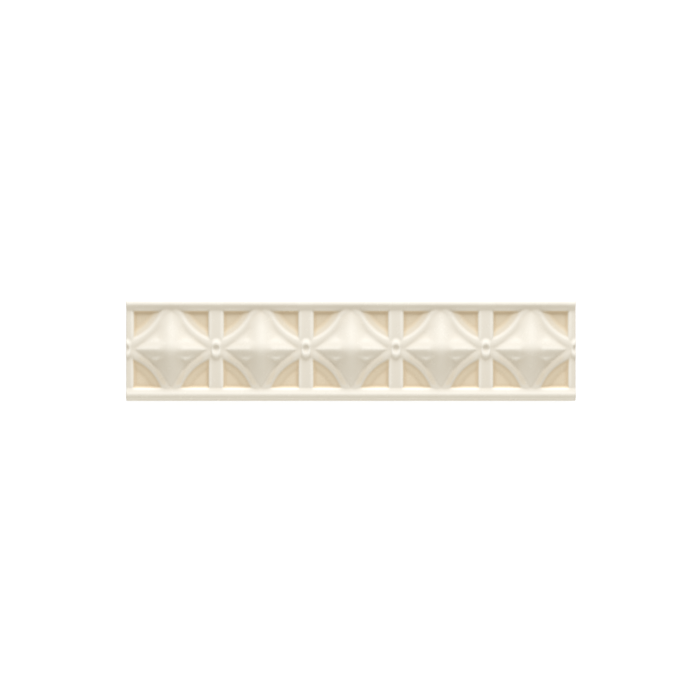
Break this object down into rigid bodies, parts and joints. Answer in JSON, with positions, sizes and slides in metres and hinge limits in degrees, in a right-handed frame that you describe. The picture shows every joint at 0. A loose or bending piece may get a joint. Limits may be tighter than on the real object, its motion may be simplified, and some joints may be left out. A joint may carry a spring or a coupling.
{
  "type": "relief border tile",
  "caption": "Cream glazed ceramic border tile: a narrow strip with rails along its edges, cross bars with dimpled buttons, curved straps and pointed stars in low relief.",
  "frame": {"origin": "middle of the flat back, with the tile lying relief up", "axes": "+X along the strip, +Y across it towards the upper rail, +Z out of the relief"},
  "size_m": [0.2, 0.046, 0.0131],
  "materials": {
    "glaze": "gloss"
  },
  "bodies": {
    "root": {"border_tile": "glaze"}
  },
  "joints": []
}
